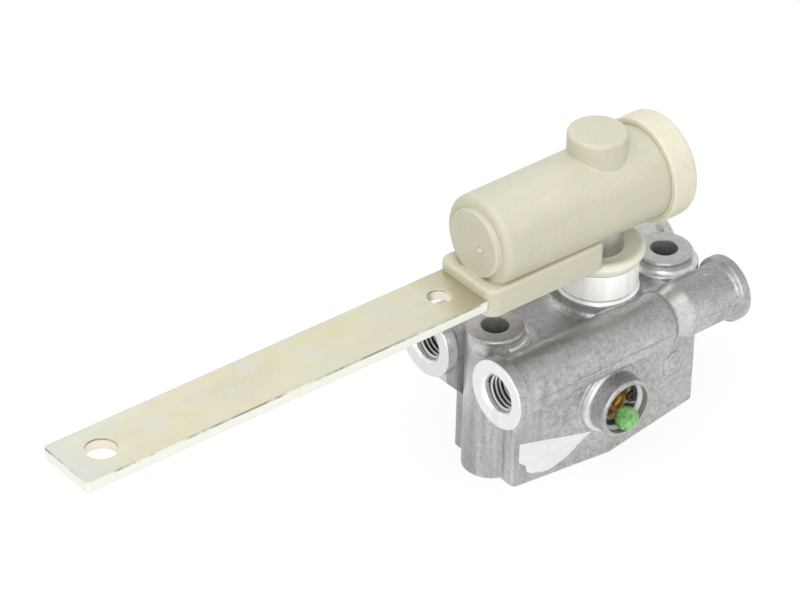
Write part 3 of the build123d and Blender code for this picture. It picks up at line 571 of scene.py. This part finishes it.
def leverMaterial(values):
    """Yellow zinc film: long streaks of pale yellow, pink and green over silver."""
    material, tree, shader = startMaterial("zincSteel")
    place, x, y, z = placeInMm(tree)
    streaks = vectorCalc(tree, "MULTIPLY", place, values["streakStretch"])
    wide = noise(tree, streaks, *values["yellowNoise"])
    second = noise(tree, vectorCalc(tree, "ADD", streaks, values["secondShift"]), *values["secondNoise"])
    blotches = noise(tree, place, *values["blotchNoise"])
    farEnd = largest(tree, times(tree, ramp(tree, x, *values["farEndX"]), values["farEndShare"]),
                     ramp(tree, blotches, *values["blotchBand"]))
    side = ramp(tree, facingUp(tree), *values["sideBand"])
    fromSmallHole = calc(tree, "ADD", radiusFrom(tree, x, y, smallHoleX), values["smallHoleLess"])
    fromHoles = calc(tree, "MINIMUM", radiusFrom(tree, x, y, rodHoleX), fromSmallHole)
    # a dark line comes and goes along the upper edge of the sides, and a stain lies on the face
    arris = times(tree, ramp(tree, z, *values["arrisHeight"]), side,
                  ramp(tree, noise(tree, place, *values["arrisNoise"]), *values["arrisBand"]))
    squash, (stainX, stainY) = values["stainSquash"], values["stainPlace"]
    fromStain = radiusFrom(tree, times(tree, x, squash), y, stainX * squash, stainY)
    stain = times(tree, ramp(tree, fromStain, *values["stainReach"]),
                  ramp(tree, noise(tree, place, *values["stainNoise"]), *values["stainBand"]), values["stainShare"])
    colour = layer(
        tree, mixColour(tree, ramp(tree, wide, *values["yellowBand"]), values["silver"], values["yellow"]),
        (ramp(tree, second, *values["pinkBand"]), values["pink"]),
        (ramp(tree, second, *values["greenBand"]), values["green"]),
        (farEnd, values["farEnd"]),
        # painted shade and a painted reflection of the nylon, near the socket
        (ramp(tree, x, *values["rootX"]), values["root"]),
        (side, values["side"]),
        (below(tree, fromHoles, values["holeReach"]), values["holeWall"]),
        (arris, values["arris"]),
        (stain, values["stain"]),
    )
    tree.links.new(colour, shader.inputs["Base Color"])
    skin = useGroup(tree, skinGroup, Place=place, Blotch=values["blotch"], Grain=values["grain"])
    tree.links.new(ramp(tree, skin["Shade"], 0, 1, *values["rough"]), shader.inputs["Roughness"])
    shader.inputs["Metallic"].default_value = values["metal"]
    scratches = noise(tree, vectorCalc(tree, "MULTIPLY", place, values["scratchStretch"]), *values["scratchNoise"])
    relief = calc(tree, "ADD", scratches, times(tree, skin["Relief"], values["skinShare"]))
    setRelief(tree, shader, relief, values["scratchDepth"], values["edge"])
    return material


threadFinish = {
    "crestColour": (0.85, 0.85, 0.84), "rootShadeColour": (0.03, 0.028, 0.025), "depthBand": (5.3, 5.75),
    "leftMouth": -52.7, "rightMouth": 38.4, "mouthBand": (1.3, 2.6), "metal": 0.8, "rough": 0.3,
}


def threadMaterial(values):
    """Bright crests over roots in painted shade, told apart by the distance from the barrel's axis."""
    material, tree, shader = startMaterial("threadAluminium")
    _, x, y, z = placeInMm(tree)
    fromBarrel = radiusFrom(tree, calc(tree, "ABSOLUTE", y), z, barrelY, barrelZ)
    fromMouth = calc(tree, "MINIMUM", calc(tree, "SUBTRACT", x, values["leftMouth"]),
                     calc(tree, "SUBTRACT", values["rightMouth"], x))
    depth = slopes(tree, (fromBarrel, fromMouth), (values["depthBand"], values["mouthBand"]))
    tree.links.new(mixColour(tree, depth, values["crestColour"], values["rootShadeColour"]), shader.inputs["Base Color"])
    shader.inputs["Metallic"].default_value = values["metal"]
    shader.inputs["Roughness"].default_value = values["rough"]
    return material


finishes = {name: plainFinish(name, values) for name, values in plainFinishes.items()}
finishes["castAluminium"] = castMaterial(castFinish, castZones, highlightZones)
finishes["zincSteel"] = leverMaterial(leverFinish)
finishes["threadAluminium"] = threadMaterial(threadFinish)

slotFinish = {
    "cast_aluminium": "castAluminium", "machined_aluminium": "coverAluminium", "nylon": "nylon",
    "cap_nylon": "capNylon", "piston_plastic": "pistonPlastic", "green_plastic": "greenPlastic",
    "zinc_steel": "zincSteel", "shaft_steel": "shaftSteel", "spring_steel": "springSteel", "bronze": "bronze",
    "black_steel": "blackSteel", "rubber": "blackRubber",
}

for subpart in frame["record"]["subparts"]:
    if subpart["node"] in nodes:
        dressed = nodes[subpart["node"]]
        dressed.data.materials.clear()
        dressed.data.materials.append(finishes[slotFinish[subpart["material_slot"]]])
print("finishes:", len(finishes))

# new pieces


def meshPiece(name, points, faces, smooth=True):
    mesh = bpy.data.meshes.new(name)
    mesh.from_pydata(points, [], faces)
    mesh.polygons.foreach_set("use_smooth", np.full(len(mesh.polygons), smooth))
    mesh.update()
    piece = bpy.data.objects.new(name, mesh)
    scene.collection.objects.link(piece)
    return piece


def gridPiece(name, points, closeU=False, closeV=False, capEnds=False, smooth=True):
    """A mesh from a grid of points, rows along u and columns along v, joined to their neighbours."""
    rows, columns = points.shape[:2]
    index = np.arange(rows * columns).reshape(rows, columns)
    if closeU:
        index = np.vstack([index, index[:1]])
    if closeV:
        index = np.hstack([index, index[:, :1]])
    faces = np.stack([index[:-1, :-1], index[1:, :-1], index[1:, 1:], index[:-1, 1:]], -1).reshape(-1, 4).tolist()
    if capEnds:
        faces += [list(range(columns)), list(range((rows - 1) * columns, rows * columns))[::-1]]
    return meshPiece(name, points.reshape(-1, 3).tolist(), faces, smooth)


def pointGrid(x, y, z):
    """Points in metres from grids or numbers in millimetres."""
    return np.stack(np.broadcast_arrays(x, y, z), -1) * mm


def wholeTurn(count):
    return np.linspace(0, 2 * pi, count, endpoint=False)


def wallAxes(wall):
    """Where a wall seen from above starts, and its directions along and outward."""
    start, end = (np.array(point) for point in wall)
    along = (end - start) / np.linalg.norm(end - start)
    return start, along, np.array([along[1], -along[0]])


def dress(piece, finish, body):
    piece.data.materials.append(finishes[finish])
    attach(piece, body)
    return piece


sides = (("front", -barrelY), ("rear", barrelY))

threadForm = {
    "pitch": 1.5, "crest": 5.2, "root": 5.94, "back": 5.985,   # millimetres, crest nearest the axis
    "length": 8.0, "stepsPerTurn": 72, "fadeTurns": 0.5,
    # the profile of one turn: share of the pitch, height (1 at the crest), and 1 on its back
    "share": (0.004, 0.06, 0.37, 0.63, 0.94, 0.996, 0.996, 0.004),
    "height": (0, 0, 1, 1, 0, 0, 0, 0), "atBack": (0, 0, 0, 0, 0, 0, 1, 1),
}
threadEnds = (("Left", -51.75, 1), ("Right", 37.45, -1))        # mouth along X, and the way in


def portThread(name, mouthX, inward, y, form):
    """The profile of one turn is carried round the axis while it moves in by the pitch, and its
    crest sinks to the root over the first and last part of a turn."""
    share, height, atBack = (np.array(form[key]) for key in ("share", "height", "atBack"))
    turns = form["length"] / form["pitch"]
    angle = np.linspace(0, 2 * pi * turns, int(turns * form["stepsPerTurn"]) + 1)[:, None]
    fade = np.clip(np.minimum(angle, angle[-1] - angle) / (2 * pi * form["fadeTurns"]), 0, 1)
    radius = np.where(atBack, form["back"], form["root"] - (form["root"] - form["crest"]) * height * fade)
    along = (angle / (2 * pi) + share) * form["pitch"]
    points = pointGrid(mouthX + inward * along, y + radius * np.cos(angle), barrelZ + inward * radius * np.sin(angle))
    piece = gridPiece(name, points[:, ::-1], closeV=True, capEnds=True, smooth=False)
    return dress(piece, "threadAluminium", "housing")


for side, sideY in sides:
    for endName, mouthX, inward in threadEnds:
        portThread(f"{side}{endName}Thread", mouthX, inward, sideY, threadForm)

labelForm = {
    "wall": leftWall, "thickness": 0.08, "gap": 0.02,
    # along the wall and up; the lower edge is torn and a little ragged
    "topEdge": ((1.7, 15.3), (27.4, 10.3)),
    "lowEdge": ((1.7, 8.6), (2.7, 7.6), (3.7, 7.0), (4.5, 5.8), (4.7, 4.0), (6.3, 3.0), (9.5, 2.1), (12.4, 1.7),
                (15.9, 2.8), (19.4, 4.5), (22.7, 7.1), (25.1, 9.0), (27.4, 10.2)),
    "ragged": 0.12, "thinnest": 0.02, "rows": 61, "columns": 9,
}


def blankLabel(form):
    """A point of the label is a share of the way from its lower to its upper edge, at a distance
    along the wall, and both faces of the paper are the same grid at two heights off the wall."""
    start, along, outward = wallAxes(form["wall"])
    run = np.linspace(form["lowEdge"][0][0], form["lowEdge"][-1][0], form["rows"])[:, None]
    top = np.interp(run, *np.array(form["topEdge"]).T)
    low = np.interp(run, *np.array(form["lowEdge"]).T) + form["ragged"] * np.sin(run * 5.1) * np.sin(run * 1.7 + 1)
    low = np.minimum(low, top - form["thinnest"])
    height = low + (top - low) * np.linspace(0, 1, form["columns"])
    layers = []
    for offset in (form["gap"], form["gap"] + form["thickness"]):
        flat = start + run * along + outward * offset
        layers.append(pointGrid(flat[:, :1], flat[:, 1:], height))
    points = np.concatenate([layers[0][:, ::-1], layers[1]], 1)
    piece = gridPiece("blankLabel", points, closeV=True, capEnds=True, smooth=False)
    return dress(piece, "blankPaper", "housing")


blankLabel(labelForm)

ringForms = {
    # the wall it lies on, centre and half sizes along it and up, half the wire, and how deep it sits
    "castRing": {"wall": rightWall, "centre": (27.8, 17.9), "half": (3.7, 4.3), "wire": 0.42, "sunk": 0.04},
    "castRingInner": {"wall": rightWall, "centre": (27.8, 17.9), "half": (1.7, 2.1), "wire": 0.3, "sunk": 0.06},
    "ejectorRing": {"wall": leftWall, "centre": (23.2, 26.2), "half": (1.15, 1.25), "wire": 0.26, "sunk": 0.04},
}
ringFlatness = 0.7      # height of the section over its width
ringSteps = (64, 12)        # round the ring, round the wire


def castRing(name, form):
    """A flattened round section carried round an ellipse that lies on the wall."""
    start, along, outward = wallAxes(form["wall"])
    turn, section = np.meshgrid(*map(wholeTurn, ringSteps), indexing="ij")
    reach = form["wire"] * np.cos(section)
    run = form["centre"][0] + (form["half"][0] + reach) * np.cos(turn)
    height = form["centre"][1] + (form["half"][1] + reach) * np.sin(turn)
    off = form["wire"] * ringFlatness * np.sin(section) - form["sunk"]
    flat = start + run[..., None] * along + off[..., None] * outward
    piece = gridPiece(name, pointGrid(flat[..., 0], flat[..., 1], height), closeU=True, closeV=True)
    return dress(piece, "castAluminium", "housing")


for ringName, ringForm in ringForms.items():
    castRing(ringName, ringForm)

stubRingForm = {
    "x": 29.6, "turn": 97.0, "reach": 8.8, "radius": 2.1, "wire": 0.24, "sunk": 0.05, "steps": (48, 10),
}


def stubRing(form):
    """A ring laid over the round stub: its across is an angle about the stub's axis."""
    turn, section = np.meshgrid(*map(wholeTurn, form["steps"]), indexing="ij")
    size = form["radius"] + form["wire"] * np.cos(section)
    reach = form["reach"] + form["wire"] * np.sin(section) - form["sunk"]
    angle = radians(form["turn"]) + size * np.sin(turn) / form["reach"]
    points = pointGrid(
        form["x"] + size * np.cos(turn), -barrelY - reach * np.cos(angle), barrelZ + reach * np.sin(angle))
    piece = gridPiece("stubRing", points, closeU=True, closeV=True)
    return dress(piece, "castAluminium", "housing")


stubRing(stubRingForm)

ridgeForms = {
    # along X in millimetres, turn off level in degrees at both ends, half width and height of the flash
    "barrelSeam": {"span": (-46.0, 9.5), "turn": (-1.5, -1.5), "half": 0.3, "height": 0.22},
    "barrelSecondSeam": {"span": (-31.0, -15.0), "turn": (-11.0, -14.0), "half": 0.15, "height": 0.08},
    "stubSeam": {"span": (18.5, 34.0), "turn": (6.0, 0.0), "half": 0.26, "height": 0.18},
}
barrelProfile = ((-46.0, 9.3), (-30.5, 9.3), (-30.1, 8.8), (9.7, 8.8), (11.8, 7.4), (17.5, 8.8), (34.5, 8.8))
# section of the flash: across in half widths, foot in millimetres, and share of the height
ridgeSection = ((-1.0, -0.1, 0.0), (-0.4, 0.0, 0.8), (0.0, 0.0, 1.0), (0.4, 0.0, 0.8), (1.0, -0.1, 0.0))
ridgeFade = 1.5     # millimetres over which it rises at each end
ridgeSway = ((0.35, 0.9, 0.0), (0.2, 2.3, 1.0))     # degrees, waves per millimetre in radians, shift
ridgeSteps = 220


def seamRidge(name, sideY, outward, form):
    """A low crest follows the barrel along X, its height and its place across swaying a little."""
    x = np.linspace(*form["span"], ridgeSteps)[:, None]
    radius = np.interp(x, *np.array(barrelProfile).T)
    turn = np.linspace(*form["turn"], ridgeSteps)[:, None]
    for size, wave, shift in ridgeSway:
        turn = turn + size * np.sin(x * wave + shift)
    ends = np.clip(np.minimum(x - x[0], x[-1] - x) / ridgeFade, 0, 1)
    height = form["height"] * ends * (0.8 + 0.2 * np.sin(x * 1.7) * np.sin(x * 0.41 + 2))
    across, cupLight, share = np.array(ridgeSection).T
    angle = np.radians(turn) + across * form["half"] / radius
    reach = radius + (cupLight + share * height)
    points = pointGrid(x, sideY + outward * reach * np.cos(angle), barrelZ + reach * np.sin(angle))
    if outward > 0:
        points = points[:, ::-1]
    return dress(gridPiece(name, points, closeV=True, capEnds=True), "castAluminium", "housing")


for side, sideY in sides:
    for ridgeName, ridgeForm in ridgeForms.items():
        seamRidge(f"{side}{ridgeName[0].upper()}{ridgeName[1:]}", sideY, np.sign(sideY), ridgeForm)

nubForm = {
    "x": -49.4, "y": -3.05, "z": 82.05, "radius": 1.15, "height": 0.75, "sunk": 0.05,
    "hole": 0.02, "steps": (9, 32),     # share of the radius where the cap starts, and steps out and round
}


def gateNub(form):
    """A low dome: the height off the end face falls as the cosine of the way out to the rim."""
    outSteps, turnSteps = form["steps"]
    share, turn = np.meshgrid(np.linspace(form["hole"], 1, outSteps), wholeTurn(turnSteps), indexing="ij")
    radius = form["radius"] * share
    x = form["x"] + form["sunk"] - (form["height"] + form["sunk"]) * np.cos(share * pi / 2)
    points = pointGrid(x, form["y"] + radius * np.cos(turn), form["z"] + radius * np.sin(turn))
    return dress(gridPiece("gateNub", points[:, ::-1], closeV=True, capEnds=True), "nylon", "arm")


gateNub(nubForm)

plugForm = {
    "x": -7.4, "y": -24.0, "z": 16.0, "radius": 3.38, "back": -22.0,
    "lobe": 0.5, "lobes": 3, "lobeShift": 0.3, "ripple": 0.2, "ripples": 7, "twist": 4,
    "hole": 0.03, "steps": (33, 72),
}


def plugHead(form):
    """A ball with three lobes and a ripple round it, cut flat behind: the radius is a sum of cosines."""
    cut = np.arccos((form["y"] - form["back"]) / form["radius"])
    downSteps, turnSteps = form["steps"]
    polar, turn = np.meshgrid(np.linspace(form["hole"], cut, downSteps), wholeTurn(turnSteps), indexing="ij")
    lobes = (0.5 + 0.5 * np.cos(form["lobes"] * turn + form["lobeShift"])) * np.sin(polar) ** 2
    ripple = (0.5 + 0.5 * np.cos(form["ripples"] * turn + form["twist"] * polar)) * np.sin(polar) ** 2
    radius = form["radius"] + form["lobe"] * lobes + form["ripple"] * ripple
    out = radius * np.sin(polar)
    points = pointGrid(
        form["x"] + out * np.cos(turn), form["y"] - radius * np.cos(polar), form["z"] + out * np.sin(turn))
    piece = gridPiece("plugHead", points, closeV=True, capEnds=True)
    return dress(piece, "greenPlastic", "housing")


plugHead(plugForm)

springForms = {
    # the CAD spring it stands for, the body at its fixed end, the body that presses it, which end is fixed
    "leftSpring": ("left_spring", "arm", "piston", "low"),
    "rightSpring": ("right_spring", "arm", "piston", "high"),
    "frontCheckSpring": ("front_check_spring", "housing", "front_poppet_body", "high"),
    "rearCheckSpring": ("rear_check_spring", "housing", "rear_poppet_body", "low"),
}
endShare = 0.12     # of a spring's length at each end


def softSpring(name, node, fixedBody, movingBody, fixedEnd):
    """The CAD spring with its points merged and shaded smooth, standing in for the hidden CAD spring."""
    source = nodes[node].data
    places = np.array([vertex.co for vertex in source.vertices])
    merged, index = np.unique(np.round(places, 7), axis=0, return_inverse=True)
    index = index.ravel()
    faces = [[int(index[v]) for v in polygon.vertices] for polygon in source.polygons]
    faces = [face for face in faces if len(set(face)) == len(face)]
    piece = meshPiece(name, merged.tolist(), faces)
    piece.data.materials.append(finishes["springSteel"])
    low, high = (Vector(corner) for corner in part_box(node))
    run = (high.x - low.x) * endShare
    middle = (low + high) / 2
    ends = [(low.x + run, middle.y, middle.z), (high.x - run, middle.y, middle.z)]
    if fixedEnd == "high":
        ends.reverse()
    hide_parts(node)
    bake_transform(piece)


for springName, springForm in springForms.items():
    softSpring(springName, *springForm)
print("new pieces made")

# floor and surroundings

surroundings = {
    "floorSize": 8.0, "floorDrop": 0.0002,      # metres
    "floorColour": (0.82, 0.82, 0.82, 1), "floorRough": 0.9, "floorGloss": 0.1,
    "floorWhite": 1.06, "floorWhiteShare": 0.8,      # what is seen of the floor glows by this share
    "roomStrength": (-0.1, 0.9, 0.87, 0.70), "worldWhite": 1.02,
}


def seenRays(tree):
    """1 for camera, glossy and transmission rays, so that a mirror or a clear piece sees the same white."""
    paths = addNode(tree, "ShaderNodeLightPath").outputs
    seen = calc(tree, "ADD", paths["Is Camera Ray"], paths["Is Glossy Ray"])
    return calc(tree, "ADD", seen, paths["Is Transmission Ray"], clamp=True)


def makeFloor(values):
    """A level square just under the part."""
    half = values["floorSize"] / 2
    x, y = np.meshgrid((-half, half), (-half, half), indexing="ij")
    corners = np.stack([x, y, np.full_like(x, -values["floorDrop"])], -1)
    floor = gridPiece("floor", corners, smooth=False)
    material, tree, shader = startMaterial("paleFloor")
    shader.inputs["Base Color"].default_value = values["floorColour"]
    shader.inputs["Roughness"].default_value = values["floorRough"]
    shader.inputs["Specular IOR Level"].default_value = values["floorGloss"]
    seen = times(tree, seenRays(tree), values["floorWhiteShare"])
    glow = addNode(tree, "ShaderNodeEmission", {"Color": (1, 1, 1, 1), "Strength": values["floorWhite"]})
    mix = addNode(tree, "ShaderNodeMixShader", {0: seen, 1: shader.outputs[0], 2: glow.outputs[0]})
    tree.links.new(mix.outputs[0], tree.nodes["Material Output"].inputs["Surface"])
    floor.data.materials.append(material)


def makeWorld(values):
    """White where it is seen or mirrored, and a soft grey room, a little dimmer overhead, that lights the part."""
    world = bpy.data.worlds.new("room")
    scene.world = world
    world.use_nodes = True
    tree = world.node_tree
    tree.nodes.clear()
    direction = addNode(tree, "ShaderNodeTexCoord").outputs["Generated"]
    height = addNode(tree, "ShaderNodeSeparateXYZ", {0: direction}).outputs[2]
    strength = ramp(tree, height, *values["roomStrength"])
    room = addNode(tree, "ShaderNodeBackground", {"Color": (1, 1, 1, 1), "Strength": strength})
    white = addNode(tree, "ShaderNodeBackground", {"Color": (1, 1, 1, 1), "Strength": values["worldWhite"]})
    mix = addNode(tree, "ShaderNodeMixShader", {0: seenRays(tree), 1: room.outputs[0], 2: white.outputs[0]})
    tree.links.new(mix.outputs[0], addNode(tree, "ShaderNodeOutputWorld").inputs["Surface"])


makeFloor(surroundings)
makeWorld(surroundings)
print("floor and room ready")
